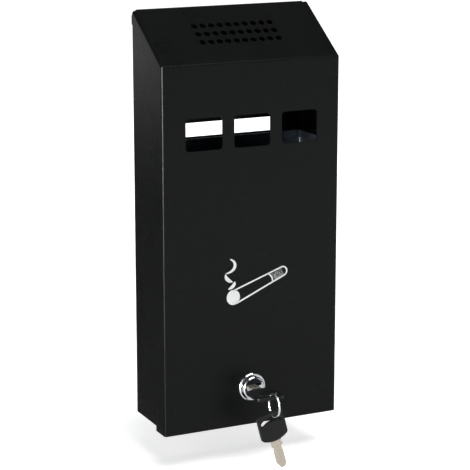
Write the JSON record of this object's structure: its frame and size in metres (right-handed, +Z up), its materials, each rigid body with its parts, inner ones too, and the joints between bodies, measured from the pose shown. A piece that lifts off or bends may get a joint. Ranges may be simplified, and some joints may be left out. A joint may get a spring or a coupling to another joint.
{
  "type": "wall ashtray bin",
  "caption": "Wall-mounted steel cigarette bin with a sloped vented top, front butt openings, hinged locking cover, lift-out inner bin and keys on a ring.",
  "frame": {"origin": "centre of the four wall fixing holes, on the wall plane", "axes": "+X to the right seen from the front, +Y into the wall, +Z up"},
  "size_m": [0.152, 0.1072, 0.3555],
  "materials": {
    "black_powder_coat": "fine-textured black powder coat",
    "galvanised_steel": "zinc coated sheet",
    "zinc_plated": "bright zinc plate",
    "chrome_plate": "polished chrome plate",
    "brass": "turned brass",
    "nickel_silver": "satin nickel silver",
    "black_plastic": "moulded matt black plastic",
    "spring_steel": "polished spring steel"
  },
  "bodies": {
    "housing": {"rear_housing": "black_powder_coat", "rear_hinge_leaf": "black_powder_coat", "hinge_pin": "zinc_plated", "container_shelf": "black_powder_coat", "lock_keeper": "zinc_plated", "keeper_rivets": "zinc_plated"},
    "cover": {"front_cover": "black_powder_coat", "front_hinge_leaf": "black_powder_coat", "lock_body": "chrome_plate", "lock_washer": "zinc_plated", "lock_nut": "zinc_plated"},
    "container": {"butt_container": "galvanised_steel"},
    "plug": {"lock_plug": "chrome_plate", "lock_wafers": "brass", "stop_washer": "zinc_plated", "lock_cam": "zinc_plated", "spring_washer": "spring_steel", "cam_screw": "zinc_plated"},
    "key": {"key_blade": "nickel_silver", "key_head": "black_plastic"},
    "ring": {"key_ring": "spring_steel"},
    "spare_key": {"spare_key_blade": "nickel_silver", "spare_key_head": "black_plastic"}
  },
  "joints": [
    {"name": "cover_open", "type": "hinge", "parent": "housing", "child": "cover", "pos_m": [0, -0.0031, 0.1625], "axis": [-1, 0, 0], "range_deg": [0, 100]},
    {"name": "container_out", "type": "slide", "parent": "housing", "child": "container", "axis": [0, -1, 0], "range_m": [0, 0.1]},
    {"name": "key_turn", "type": "hinge", "parent": "cover", "child": "plug", "pos_m": [0, -0.06, -0.1338], "axis": [0, 1, 0], "range_deg": [0, 90]},
    {"name": "key_pull", "type": "slide", "parent": "plug", "child": "key", "axis": [0, -1, 0], "range_m": [0, 0.03]},
    {"name": "ring_swing", "type": "hinge", "parent": "key", "child": "ring", "pos_m": [0.0012, -0.0932, -0.1338], "axis": [-1, 0, 0], "range_deg": [0, 30]},
    {"name": "spare_key_swing", "type": "hinge", "parent": "ring", "child": "spare_key", "pos_m": [0.0012, -0.0972, -0.1477], "axis": [0, 1, 0], "range_deg": [-35, 35]}
  ],
  "couplings": [
    {"joint": "container_out", "follows": "cover_open", "m_per_rad": 0.0572}
  ]
}
